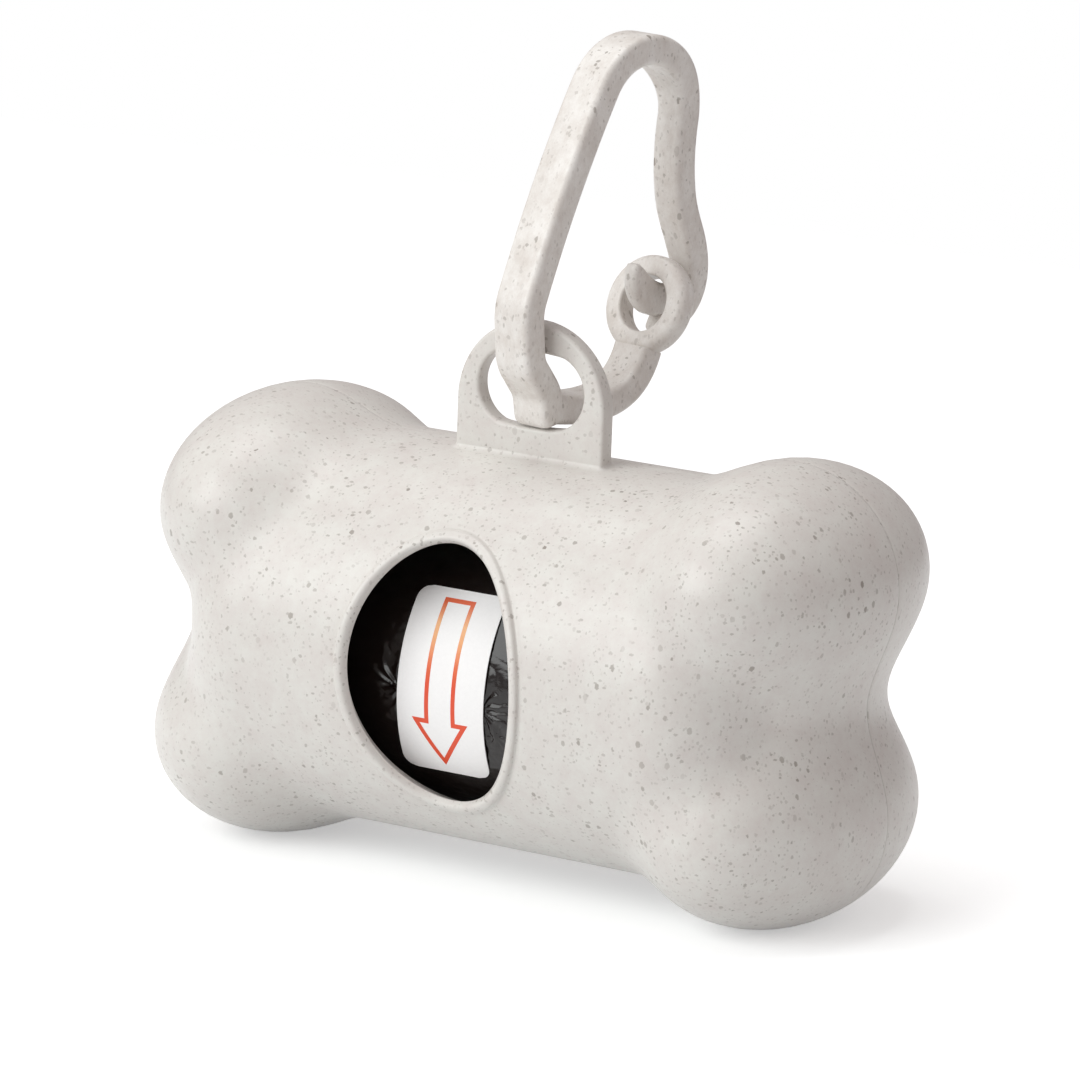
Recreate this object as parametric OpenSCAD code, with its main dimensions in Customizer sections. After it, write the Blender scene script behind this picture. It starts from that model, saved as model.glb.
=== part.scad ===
// Bone shaped dispenser for rolls of waste bags, moulded in two half shells, with a snap loop.
// X runs along the bone, Y from the window at the front to the back, Z up from the table.

/* [Bone] */
// Radius of the round middle of the bone
tube_r = 21; // [19:0.5:24]
// Half the length of the round middle, to its flat ends
tube_half = 33.4; // [32:0.1:34]
// Rounding where the round middle meets its flat ends
end_edge = 9; // [6:0.5:10]
// Distance of each knob's middle from the middle of the bone
lobe_x = 29.8; // [28:0.2:33]
// Height of each knob's middle above or below the bone's axis
lobe_z = 12; // [11:0.2:13]
// Half the width of a knob, along the bone
lobe_rx = 12.7; // [11.5:0.1:14]
// Half the depth of a knob, front to back
lobe_ry = 19.4; // [17:0.2:21]
// Half the height of a knob
lobe_rz = 12.2; // [11.5:0.1:13.5]
// Softness of the saddle between two knobs
blend_lobes = 12; // [8:1:14]
// Softness of the fillet between a knob and the round middle
blend_tube = 2.6; // [1.5:0.1:4]
// Depth of the flats that the lower knobs rest on
foot_flat = 0.4; // [0.2:0.1:0.8]

/* [Shells] */
// Thickness of the moulded wall
wall = 2; // [1.8:0.1:2.4]
// Where the two half shells meet, measured back from the axis
seam_y = 0.8; // [0:0.1:2]
// Gap left at the seam
seam_gap = 0.05; // [0.03:0.01:0.1]
// How far the front shell's lip reaches into the rear shell
lip_depth = 1.6; // [1:0.1:2.5]
// Clearance all round the lip
lip_gap = 0.1; // [0.08:0.01:0.2]

/* [Window] */
// Half the width of the window
window_a = 10.1; // [8:0.1:11]
// Half the height of the window
window_b = 13.7; // [11:0.1:14.5]
// Height of the window's middle above the axis
window_z = 0.3; // [-1:0.05:1]
// Turn of the window to the left
window_turn = 5; // [0:1:8]
// Width of the raised bead round the window
bead_w = 1.2; // [1:0.1:2]
// Height of the raised bead
bead_h = 0.45; // [0.2:0.05:0.7]
// Thickness of the wall right at the window's edge
edge_t = 0.5; // [0.4:0.05:1]
// How much wider the window is at the inside of the wall
edge_flare = 2.1; // [1:0.1:2.6]

/* [Tab] */
// Width of the hanging tab
tab_w = 18; // [17:0.5:20]
// Thickness of the tab
tab_t = 2.15; // [2:0.05:2.6]
// Distance of the tab's front face ahead of the axis
tab_front = 3; // [2.8:0.1:3.4]
// Height of the tab's top above the axis
tab_top = 35.2; // [34:0.1:36.5]
// Width of the hole in the tab
slot_w = 12.8; // [12:0.1:13.5]
// Height of the hole
slot_h = 8; // [7.8:0.1:8.4]
// Height of the hole's middle above the axis
slot_z = 28; // [27.6:0.1:28.3]

/* [Clip] */
// Width of the clip's strip at the front
strip_w = 4.8; // [4:0.1:5.2]
// Width of the strip at the gate
gate_w = 3.7; // [3.2:0.1:4.2]
// Thickness of the strip
strip_t = 3.2; // [2.6:0.05:3.3]
// Softening of the strip's edges
strip_edge = 0.6; // [0.3:0.05:0.8]
// Turn of the clip about the vertical
clip_turn = 10; // [6:1:12]
// Place of the clip in the tab's hole, to the right of the middle
clip_x = 1; // [0:0.1:1.2]
// Gap between the loop's foot and the hole's lower edge
foot_gap = 0.35; // [0.25:0.05:0.5]
// Rounding of the foot
foot_round = 0.9; // [0.7:0.1:1]
// Length of the long run up the front of the loop
rise_len = 23.2; // [20:0.2:25]
// Outer radius of the clip's ring
ring_r = 5.3; // [5.1:0.05:5.5]
// Radius of the hole in the ring
ring_bore = 3.05; // [3:0.05:3.3]
// Thickness of the ring
ring_t = 2.6; // [2.4:0.1:2.8]
// Backward lean of the ring
ring_lean = 20; // [18:1:22]
// Distance from the gate's hinge to the middle of the ring
gate_arm = 10.5; // [10.3:0.1:10.8]
// Width of the hooked tongue
tongue_w = 1.9; // [1.5:0.1:2.2]
// Gap between the tongue and the top of the ring's hole
tongue_gap = 0.5; // [0.4:0.05:0.7]
// Clearance round the gate's knuckle
knuckle_gap = 0.08; // [0.05:0.01:0.1]

/* [Roll] */
// Radius of a full roll of bags
roll_r = 15.75; // [12:0.05:15.8]
// Length of the roll
roll_len = 55; // [48:0.5:55.5]
// Outer radius of the cardboard core
core_r = 5.2; // [4.5:0.1:6.5]
// Wall of the cardboard core
core_wall = 1.2; // [0.8:0.1:1.5]
// Clearance between the core and the film wound on it
core_gap = 0.02; // [0.01:0.01:0.1]
// Gap between the roll and the wall below it
roll_gap = 0.45; // [0.4:0.05:0.7]
// Width of the paper seal on the roll
label_w = 10.6; // [8:0.1:14]
// Half the angle that the seal wraps round the roll
label_half = 37; // [30:1:46]
// Turn of the seal's middle above the level of the axis
label_up = 6; // [-10:1:20]
// Place of the seal's middle along the roll
label_x = -1.5; // [-6:0.1:6]
// Thickness of the seal
label_t = 0.12; // [0.08:0.01:0.2]
// Corner radius of the seal
label_corner = 1.4; // [0.5:0.1:2]

/* [Hidden] */
shell_color = [0.87, 0.85, 0.81];
axis_z = lobe_z + lobe_rz - foot_flat;
around = 96;
turn_bias = 12;
outer_rings = 24;
inner_rings = 15;
rear_rings = 22;
solve_steps = 24;
far = 70;
knuckle_rise = 1.4;
roll_z = axis_z - (tube_r - wall - roll_r - roll_gap);

// Rounded union of two distances
function smooth_min(a, b, k) =
    let (h = max(0, min(1, 0.5 + 0.5 * (b - a) / k)))
    b * (1 - h) + a * h - k * h * (1 - h);

// Distance to one knob, for a point in the first octant or below it
function lobe_field(x, y, z) =
    let (q = [(x - lobe_x) / lobe_rx, y / lobe_ry, (z - lobe_z) / lobe_rz],
         n = norm(q),
         g = norm([q[0] / lobe_rx, q[1] / lobe_ry, q[2] / lobe_rz]))
    n * (n - 1) / max(g, 0.0001);

// Distance to the round middle with its edged flat ends
function tube_field(x, y, z) =
    let (d = norm([y, z]) - tube_r + end_edge, e = x - tube_half + end_edge)
    min(max(d, e), 0) + norm([max(d, 0), max(e, 0)]) - end_edge;

// Distance to the whole bone, measured from its axis
function bone_field(p) =
    let (x = abs(p[0]), y = abs(p[1]), z = abs(p[2]),
         knobs = smooth_min(lobe_field(x, y, z), lobe_field(x, y, -z), blend_lobes))
    smooth_min(knobs, tube_field(x, y, z), blend_tube);

// How far from base along dir the bone's surface lies, moved out by rise
function reach(base, dir, rise, low = 4, high = far, n = solve_steps) =
    n == 0 ? (low + high) / 2
    : let (mid = (low + high) / 2)
      bone_field(base + dir * mid) < rise
      ? reach(base, dir, rise, mid, high, n - 1)
      : reach(base, dir, rise, low, mid, n - 1);

// Angles about the front to back axis, closer together towards the knobs
turns = [for (j = [0:around - 1]) let (s = 360 * j / around) s - turn_bias * sin(2 * s)];

// Radius of the window's outline, widened by grow, seen from the front
function window_reach(a, grow) =
    let (p = window_a + grow, q = window_b + grow,
         c = cos(a - window_turn), s = sin(a - window_turn),
         m = c * c / (p * p) + s * s / (q * q),
         h = s * window_z / (q * q),
         k = window_z * window_z / (q * q) - 1)
    (h + sqrt(h * h - m * k)) / m;

// Angle from straight ahead to the window's edge, and to the seam
function window_tilt(a, grow) =
    let (w = window_reach(a, grow), z = w * sin(a))
    atan2(w, sqrt(tube_r * tube_r - z * z));
seam_reach = [for (a = turns) reach([0, seam_y, 0], [cos(a), 0, sin(a)], 0)];
function seam_tilt(j) = atan2(seam_reach[j], -seam_y);

// A ring of points on the bone at a share t of the way from the window to the seam
function front_ring(t, rise, grow = 0) =
    [for (j = [0:around - 1])
        let (a = turns[j],
             tilt = (1 - t) * window_tilt(a, grow) + t * seam_tilt(j),
             dir = [sin(tilt) * cos(a), -cos(tilt), sin(tilt) * sin(a)])
        dir * reach([0, 0, 0], dir, rise)];

// A ring at a share t of the way from the seam to the middle of the back
function rear_ring(t, rise) =
    [for (j = [0:around - 1])
        let (a = turns[j],
             tilt = (1 - t) * seam_tilt(j) + t * 180,
             dir = [sin(tilt) * cos(a), -cos(tilt), sin(tilt) * sin(a)])
        dir * reach([0, 0, 0], dir, rise)];

// A ring in an upright plane at y
function flat_ring(y, rise) =
    [for (a = turns)
        let (dir = [cos(a), 0, sin(a)])
        [0, y, 0] + dir * reach([0, y, 0], dir, rise)];

function flatten(lists) = [for (l = lists) for (p = l) p];

// Faces between ring i and ring k, with the points of each ring in the same order
function band(i, k) =
    [for (j = [0:around - 1])
        let (n = (j + 1) % around)
        each [[i * around + j, k * around + n, k * around + j],
              [i * around + j, i * around + n, k * around + n]]];

// Bead and edge of the window: widening, then height above the skin
bead = [[0, -edge_t], [0, -0.3], [0.1, 0], [0.35, bead_h * 0.85], [bead_w / 2, bead_h],
        [bead_w - 0.3, bead_h * 0.6], [bead_w, 0]];

module front_skin() {
    lap = (wall - lip_gap) / 2;
    outer = [for (b = bead) front_ring(0, b[1], b[0])];
    flank = [for (i = [1:outer_rings]) front_ring(i / (outer_rings + 1), 0, bead_w)];
    rim = [flat_ring(seam_y, 0), flat_ring(seam_y, -lap - lip_gap),
           flat_ring(seam_y + lip_depth, -lap - lip_gap), flat_ring(seam_y + lip_depth, -wall)];
    inner = [for (i = [inner_rings:-1:0]) front_ring(i / (inner_rings + 0.4), -wall, edge_flare)];
    rings = concat(outer, flank, rim, inner);
    count = len(rings);
    translate([0, 0, axis_z])
        polyhedron(points = flatten(rings),
                   faces = [for (i = [0:count - 1]) each band(i, (i + 1) % count)], convexity = 8);
}

module rear_skin() {
    lap = (wall - lip_gap) / 2;
    start = seam_y + seam_gap;
    outer = [for (i = [rear_rings - 1:-1:1]) rear_ring(i / rear_rings, 0)];
    rim = [flat_ring(start, 0), flat_ring(start, -lap),
           flat_ring(seam_y + lip_depth + lip_gap, -lap),
           flat_ring(seam_y + lip_depth + lip_gap, -wall)];
    inner = [for (i = [1:inner_rings - 1]) rear_ring(0.06 + 0.94 * i / inner_rings, -wall)];
    rings = concat(outer, rim, inner);
    count = len(rings);
    tips = [[0, reach([0, 0, 0], [0, 1, 0], 0), 0], [0, reach([0, 0, 0], [0, 1, 0], -wall), 0]];
    first = count * around;
    translate([0, 0, axis_z])
        polyhedron(points = concat(flatten(rings), tips),
                   faces = concat(
                       [for (i = [0:count - 2]) each band(i, i + 1)],
                       [for (j = [0:around - 1]) [first, (j + 1) % around, j]],
                       [for (j = [0:around - 1])
                           [first + 1, (count - 1) * around + j,
                            (count - 1) * around + (j + 1) % around]]),
                   convexity = 8);
}

// Everything below the table is cut away, which leaves the flats
module under_table() {
    translate([-far, -far, -far])
        cube([2 * far, 2 * far, far]);
}

module tab_plate() {
    root = sqrt(tube_r * tube_r - tab_front * tab_front) - wall / 2;
    shoulder = tab_top - tab_w / 2;
    half = (slot_w - slot_h) / 2;
    translate([0, tab_t - tab_front, axis_z])
        rotate([90, 0, 0])
            linear_extrude(height = tab_t)
                difference() {
                    union() {
                        translate([-tab_w / 2, root])
                            square([tab_w, shoulder - root]);
                        translate([0, shoulder])
                            circle(r = tab_w / 2, $fn = 96);
                    }
                    translate([-half, slot_z - slot_h / 2])
                        square([2 * half, slot_h]);
                    for (side = [-1, 1])
                        translate([side * half, slot_z])
                            circle(r = slot_h / 2, $fn = 64);
                }
}

module front_shell() {
    color(shell_color)
        union() {
            difference() {
                front_skin();
                under_table();
            }
            tab_plate();
        }
}

module rear_shell() {
    color(shell_color)
        difference() {
            rear_skin();
            under_table();
        }
}

// The loop lies in one upright plane. Its outline is a chain of arcs, each a length and a turn
loop_arcs = [[2.69, 0.2], [1.7, 28.3], [2.4, 0.2], [1.9, -32.7], [3.34, -0.3], [2.6, -26.7],
             [rise_len, -9], [9.3, -74], [10.4, -85], [8.2, 19]];
gate_arcs = [[6.5, -14], [3.5, -36], [6.2, -98]];
foot = [-1.95, slot_z - slot_h / 2 + foot_gap, 100];

// Place and heading at share f of one arc
function along(s, arc, f) =
    let (r = arc[0] * 180 / (PI * arc[1]), h = s[2] + f * arc[1])
    [s[0] + r * (sin(h) - sin(s[2])), s[1] - r * (cos(h) - cos(s[2])), h];

function trail(s, arcs, n, i = 0) =
    i == len(arcs) ? [s]
    : concat([for (k = [0:n - 1]) along(s, arcs[i], k / n)],
             trail(along(s, arcs[i], 1), arcs, n, i + 1));

front_trail = trail(foot, loop_arcs, 8);
loop_end = front_trail[len(front_trail) - 1];
pivot = [loop_end[0] + knuckle_rise * cos(loop_end[2]), loop_end[1] + knuckle_rise * sin(loop_end[2])];
lean_up = [sin(ring_lean), cos(ring_lean)];
ring_mid = pivot - gate_arm * lean_up;

// The arm sweeps from the ring down into the back of the loop's foot
arm_top = ring_mid - (ring_r - 0.7) * lean_up;
arm_end = [foot[0] + 0.65, foot[1] + strip_t / 2 + 0.1];
arm_pull = [arm_top - 6.2 * lean_up, arm_end + [6.3, -0.9]];
function arm_at(f) =
    let (g = 1 - f)
    g * g * g * arm_top + 3 * g * g * f * arm_pull[0] + 3 * g * f * f * arm_pull[1] + f * f * f * arm_end;
arm_trail = [for (i = [0:16])
    let (f = i / 16, p = arm_at(f), q = arm_at(f + 0.01), d = q - p)
    [p[0], p[1], atan2(d[1], d[0])]];

// Stations at distances before and after a place, along its heading
function stretch(s, steps) =
    [for (d = steps) [s[0] + d * cos(s[2]), s[1] + d * sin(s[2]), s[2]]];
foot_steps = [0, 0.14, 0.4, 1] * foot_round;
function foot_inset(d) = foot_round - sqrt(foot_round * foot_round - pow(foot_round - d, 2));
nose_steps = [-0.985, -0.9, -0.68, -0.35] * strip_t / 2;

// Eight corners of the strip's section at one place of its outline
function section(s, w, t) =
    let (a = w / 2, b = t / 2, e = min(strip_edge, a - 0.1, b - 0.1), n = [-sin(s[2]), cos(s[2])])
    [for (q = [[b, a - e], [b - e, a], [e - b, a], [-b, a - e],
               [-b, e - a], [e - b, -a], [b - e, -a], [b, e - a]])
        [s[0] + q[0] * n[0], s[1] + q[0] * n[1], q[1]]];

// A strip along stations, with a width and thickness for each
module strip(stations, widths, thick) {
    n = len(stations);
    points = flatten([for (i = [0:n - 1]) section(stations[i], widths[i], thick[i])]);
    side = [for (i = [0:n - 2]) for (k = [0:7])
        [i * 8 + k, i * 8 + 8 + k, i * 8 + 8 + (k + 1) % 8, i * 8 + (k + 1) % 8]];
    ends = [[for (k = [0:7]) k], [for (k = [7:-1:0]) (n - 1) * 8 + k]];
    polyhedron(points = points, faces = concat(side, ends), convexity = 6);
}

// Stands the loop's plane up in the hole of the tab
module in_loop_plane() {
    translate([clip_x, 0, axis_z])
        rotate([90, 0, 90 - clip_turn])
            children();
}

module clip_ring() {
    e = 0.5;
    half = ring_t / 2;
    translate([ring_mid[0], ring_mid[1], 0])
        rotate([0, 90, 180 - ring_lean])
            rotate_extrude($fn = 72)
                polygon([[ring_bore + e / 2, -half], [ring_r - e, -half], [ring_r, e - half],
                         [ring_r, half - e], [ring_r - e, half], [ring_bore + e / 2, half],
                         [ring_bore, half - e / 2], [ring_bore, e / 2 - half]]);
}

module clip_loop() {
    last = len(front_trail) - 1;
    stations = concat(stretch(foot, foot_steps), [for (i = [4:last]) front_trail[i]]);
    insets = concat([for (d = foot_steps) foot_inset(d)], [for (i = [4:last]) 0]);
    shares = concat([for (d = foot_steps) 0], [for (i = [4:last]) max(0, min(1, (i - 66) / 7))]);
    widths = [for (i = [0:last]) strip_w + (gate_w - strip_w) * shares[i] - 2 * insets[i]];
    color([0.85, 0.83, 0.79])
        in_loop_plane()
            difference() {
                union() {
                    strip(stations, widths, [for (i = insets) strip_t - 2 * i]);
                    strip(arm_trail, [for (s = arm_trail) strip_w - 0.1],
                          [for (s = arm_trail) strip_t - 0.1]);
                    clip_ring();
                }
                translate([pivot[0], pivot[1], -strip_w])
                    cylinder(h = 2 * strip_w, r = strip_t / 2 + knuckle_gap, $fn = 48);
            }
}

// Side view of the tongue. It turns about the gate's hinge, so its top edge is an arc round that
module tongue_outline() {
    top = gate_arm - ring_bore + tongue_gap;
    translate(ring_mid)
        rotate(-ring_lean)
            intersection() {
                translate([0, gate_arm])
                    difference() {
                        circle(r = gate_arm + ring_bore, $fn = 120);
                        circle(r = top, $fn = 120);
                    }
                translate([-0.3, 3.2])
                    circle(r = 4.3, $fn = 120);
                translate([-1.2, 2.6])
                    circle(r = 4.5, $fn = 96);
            }
}

module clip_gate() {
    root = [pivot[0], pivot[1], -60];
    hook = trail(root, gate_arcs, 8);
    n = len(hook);
    widths = [for (i = [0:n - 1]) gate_w + (tongue_w - gate_w) * i / (n - 1)];
    nose = [for (d = nose_steps) 2 * sqrt(strip_t * strip_t / 4 - d * d)];
    color([0.85, 0.83, 0.79])
        in_loop_plane()
            union() {
                strip(concat(stretch(root, nose_steps), hook),
                      concat([for (t = nose) gate_w], widths),
                      concat(nose, [for (s = hook) strip_t]));
                translate([0, 0, -tongue_w / 2])
                    linear_extrude(height = tongue_w)
                        tongue_outline();
            }
}

module lying_tube(outer, inner, length) {
    translate([-length / 2, 0, roll_z])
        rotate([0, 90, 0])
            difference() {
                cylinder(h = length, r = outer, $fn = 96);
                translate([0, 0, -1])
                    cylinder(h = length + 2, r = inner, $fn = 96);
            }
}

module roll_core() {
    color([0.72, 0.6, 0.44])
        lying_tube(core_r, core_r - core_wall, roll_len + 1);
}

module bag_roll() {
    color([0.08, 0.08, 0.09])
        lying_tube(roll_r, core_r + core_gap, roll_len);
}

module roll_seal() {
    inner = roll_r + 0.01;
    color([0.93, 0.92, 0.9])
        translate([0, 0, roll_z])
            rotate([-label_up, 0, 0])
                intersection() {
                    rotate([0, 90, 0])
                        difference() {
                            translate([0, 0, label_x - label_w / 2])
                                cylinder(h = label_w, r = inner + label_t, $fn = 96);
                            translate([0, 0, label_x - label_w])
                                cylinder(h = 2 * label_w, r = inner, $fn = 96);
                        }
                    rotate([90, 0, 0])
                        linear_extrude(height = 2 * roll_r)
                            seal_outline();
                }
}

// The seal seen square on, with its corners rounded
module seal_outline() {
    half_h = (roll_r + label_t) * sin(label_half);
    x0 = label_x - label_w / 2;
    c = label_corner;
    translate([x0 + c, -half_h])
        square([label_w - 2 * c, 2 * half_h]);
    translate([x0, c - half_h])
        square([label_w, 2 * half_h - 2 * c]);
    for (x = [x0 + c, x0 + label_w - c])
        for (z = [c - half_h, half_h - c])
            translate([x, z])
                circle(r = c, $fn = 32);
}

front_shell();
rear_shell();
clip_loop();
clip_gate();
roll_core();
bag_roll();
roll_seal();
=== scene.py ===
import math
import bmesh
import bpy
import numpy as np
from mathutils import Matrix, Vector, noise


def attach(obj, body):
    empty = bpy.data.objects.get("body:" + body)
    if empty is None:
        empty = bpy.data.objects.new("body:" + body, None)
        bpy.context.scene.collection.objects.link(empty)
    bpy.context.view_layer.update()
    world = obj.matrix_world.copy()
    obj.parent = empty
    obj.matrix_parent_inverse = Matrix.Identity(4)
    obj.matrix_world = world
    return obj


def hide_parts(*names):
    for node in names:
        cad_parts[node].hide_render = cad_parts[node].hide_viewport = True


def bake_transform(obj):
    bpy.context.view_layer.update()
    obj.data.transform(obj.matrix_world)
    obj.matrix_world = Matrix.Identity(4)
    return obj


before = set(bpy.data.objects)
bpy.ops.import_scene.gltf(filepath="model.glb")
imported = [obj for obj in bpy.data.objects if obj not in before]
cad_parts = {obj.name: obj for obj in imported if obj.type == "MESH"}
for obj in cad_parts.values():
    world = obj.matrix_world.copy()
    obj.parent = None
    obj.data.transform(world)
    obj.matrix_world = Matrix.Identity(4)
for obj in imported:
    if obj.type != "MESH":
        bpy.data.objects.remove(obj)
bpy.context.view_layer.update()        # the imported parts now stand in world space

mm = 0.001

# the moulded bone, in millimetres from its own axis
bone = {
    "tubeRadius": 21.0,
    "tubeHalf": 33.4,
    "endEdge": 9.0,
    "knobPlace": (29.8, 12.0),
    "knobSize": (12.7, 19.4, 12.2),
    "knobBlend": 12.0,
    "tubeBlend": 2.6,
    "footFlat": 0.4,
    "wall": 2.0,
    "seamY": 0.8,
    "lipDepth": 1.6,
    "lipGap": 0.1,
    "around": 288,
    "turnBias": 12.0,
}
axisHeight = bone["knobPlace"][1] + bone["knobSize"][2] - bone["footFlat"]


def smoothMin(a, b, k):
    h = np.clip(0.5 + 0.5 * (b - a) / k, 0, 1)
    return b * (1 - h) + a * h - k * h * (1 - h)


def boneDistance(p):
    # distance to the bone's skin for points in millimetres
    x, y, z = np.abs(p[:, 0]), np.abs(p[:, 1]), np.abs(p[:, 2])
    size = np.array(bone["knobSize"])

    def knob(height):
        q = np.stack([x - bone["knobPlace"][0], y, height - bone["knobPlace"][1]], 1) / size
        n = np.linalg.norm(q, axis=1)
        return n * (n - 1) / np.maximum(np.linalg.norm(q / size, axis=1), 1e-4)

    edge = bone["endEdge"]
    d = np.hypot(y, z) - bone["tubeRadius"] + edge
    e = x - bone["tubeHalf"] + edge
    tube = np.minimum(np.maximum(d, e), 0) + np.hypot(np.maximum(d, 0), np.maximum(e, 0)) - edge
    knobs = smoothMin(knob(z), knob(-z), bone["knobBlend"])
    return smoothMin(knobs, tube, bone["tubeBlend"])


def reachSkin(start, aim, rise):
    # how far along each aim the skin lies, moved out by rise
    low = np.full(len(aim), 4.0)
    high = np.full(len(aim), 70.0)
    for _ in range(34):
        mid = (low + high) / 2
        inside = boneDistance(start + aim * mid[:, None]) < rise
        low = np.where(inside, mid, low)
        high = np.where(inside, high, mid)
    return (low + high) / 2


steps = np.arange(bone["around"]) * 2 * math.pi / bone["around"]
turns = steps - math.radians(bone["turnBias"]) * np.sin(2 * steps)
window = {"halfWidth": 10.1, "halfHeight": 13.7, "height": 0.3, "turn": 5.0}


def windowReach(grow):
    p, q = window["halfWidth"] + grow, window["halfHeight"] + grow
    c, s = np.cos(turns - math.radians(window["turn"])), np.sin(turns - math.radians(window["turn"]))
    m = c * c / p ** 2 + s * s / q ** 2
    h = s * window["height"] / q ** 2
    return (h + np.sqrt(h * h - m * (window["height"] ** 2 / q ** 2 - 1))) / m


def flatRing(y, rise):
    aim = np.stack([np.cos(turns), np.zeros_like(turns), np.sin(turns)], 1)
    start = np.array([0.0, y, 0.0])
    return start + aim * reachSkin(start, aim, rise)[:, None]


seamReach = np.linalg.norm(flatRing(bone["seamY"], 0) - [0, bone["seamY"], 0], axis=1)
seamTilt = np.arctan2(seamReach, -bone["seamY"])


def tiltRing(tilt, rise):
    aim = np.stack([np.sin(tilt) * np.cos(turns), -np.cos(tilt), np.sin(tilt) * np.sin(turns)], 1)
    return aim * reachSkin(np.zeros(3), aim, rise)[:, None]


def frontRing(t, rise, grow=0.0):
    w = windowReach(grow)
    start = np.arctan2(w, np.sqrt(bone["tubeRadius"] ** 2 - (w * np.sin(turns)) ** 2))
    return tiltRing((1 - t) * start + t * seamTilt, rise)


def rearRing(t, rise):
    return tiltRing((1 - t) * seamTilt + t * math.pi, rise)


def seat(ring):
    # into the row's frame, with the lower knobs cut flat for the table
    out = np.array(ring, float)
    out[:, 2] = np.maximum(out[:, 2] + axisHeight, 0)
    return out * mm


def placeLoop(verts, spots):
    for v, p in zip(verts, spots):
        v.co = p


def loopEdges(bm, verts):
    return [bm.edges.get((verts[i - 1], verts[i])) for i in range(len(verts))]


def firstLoop(bm, spots):
    # a closed loop of vertices through the given places
    verts = bmesh.ops.create_circle(bm, segments=len(spots), radius=0.001)["verts"]
    placeLoop(verts, spots)
    return verts


def nextLoop(bm, verts, spots):
    # extrudes a closed loop of vertices and moves the copy
    made = bmesh.ops.extrude_edge_only(bm, edges=loopEdges(bm, verts))["geom"]
    fresh = {g for g in made if isinstance(g, bmesh.types.BMVert)}
    loop = [next(e.other_vert(v) for e in v.link_edges if e.other_vert(v) in fresh) for v in verts]
    placeLoop(loop, spots)
    return loop


def loftLoops(bm, rings, closed=False, tips=(False, False)):
    # a skin through rings of the same count, closed on itself or capped
    start = loop = firstLoop(bm, rings[0])
    for ring in rings[1:]:
        loop = nextLoop(bm, loop, ring)
    if closed:
        loop = nextLoop(bm, loop, rings[0])
        bmesh.ops.remove_doubles(bm, verts=start + loop, dist=1e-7)
    for wanted, end in zip(tips, (start, loop)):
        if wanted:
            bmesh.ops.contextual_create(bm, geom=end + loopEdges(bm, end))


def joinInto(bm, part):
    # adds a finished part to a piece
    bmesh.ops.recalc_face_normals(part, faces=part.faces)
    mesh = bpy.data.meshes.new("part")
    part.to_mesh(mesh)
    part.free()
    bm.from_mesh(mesh)
    bpy.data.meshes.remove(mesh)


def finishPiece(bm, name, material, smooth=40):
    bmesh.ops.recalc_face_normals(bm, faces=bm.faces)
    mesh = bpy.data.meshes.new(name)
    bm.to_mesh(mesh)
    bm.free()
    obj = bpy.data.objects.new(name, mesh)
    bpy.context.scene.collection.objects.link(obj)
    mesh.materials.append(material)
    mesh.shade_smooth()
    mesh.set_sharp_from_angle(angle=math.radians(smooth))
    return obj


def sheenOf(code):
    # sRGB hex to the linear colour that the shader wants
    parts = [int(code[i:i + 2], 16) / 255 for i in (1, 3, 5)]
    return [c / 12.92 if c <= 0.04045 else ((c + 0.055) / 1.055) ** 2.4 for c in parts] + [1]


def addNode(tree, kind, inputs=None, **settings):
    node = tree.nodes.new(kind)
    for key, value in settings.items():
        setattr(node, key, value)
    for key, value in (inputs or {}).items():
        if isinstance(value, bpy.types.NodeSocket):
            tree.links.new(value, node.inputs[key])
        else:
            node.inputs[key].default_value = value
    return node


def newFinish(name):
    material = bpy.data.materials.new(name)
    material.use_nodes = True
    tree = material.node_tree
    shader = tree.nodes["Principled BSDF"]
    where = addNode(tree, "ShaderNodeTexCoord").outputs["Object"]
    return material, tree, shader, where


# polypropylene filled with ground straw: off white, satin, with fine brown flecks
straw = {
    "body": "#dcdad5",
    "warm": "#d3ccc8",
    "fleck": "#7f756b",
    "roughness": 0.34,
    "blotchPitch": 3.6,
    "ragged": 0.26,
    # radius, pitch, share of cells that hold one, weakest and strongest depth, squash along x, y and z
    "flecks": [
        (0.17, 0.42, 0.8, 0.08, 0.4, (1, 1, 0.7)),
        (0.2, 0.6, 0.8, 0.1, 0.52, (0.62, 1, 1)),
        (0.27, 1.05, 0.75, 0.15, 0.68, (0.8, 1, 0.6)),
    ],
}


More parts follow.
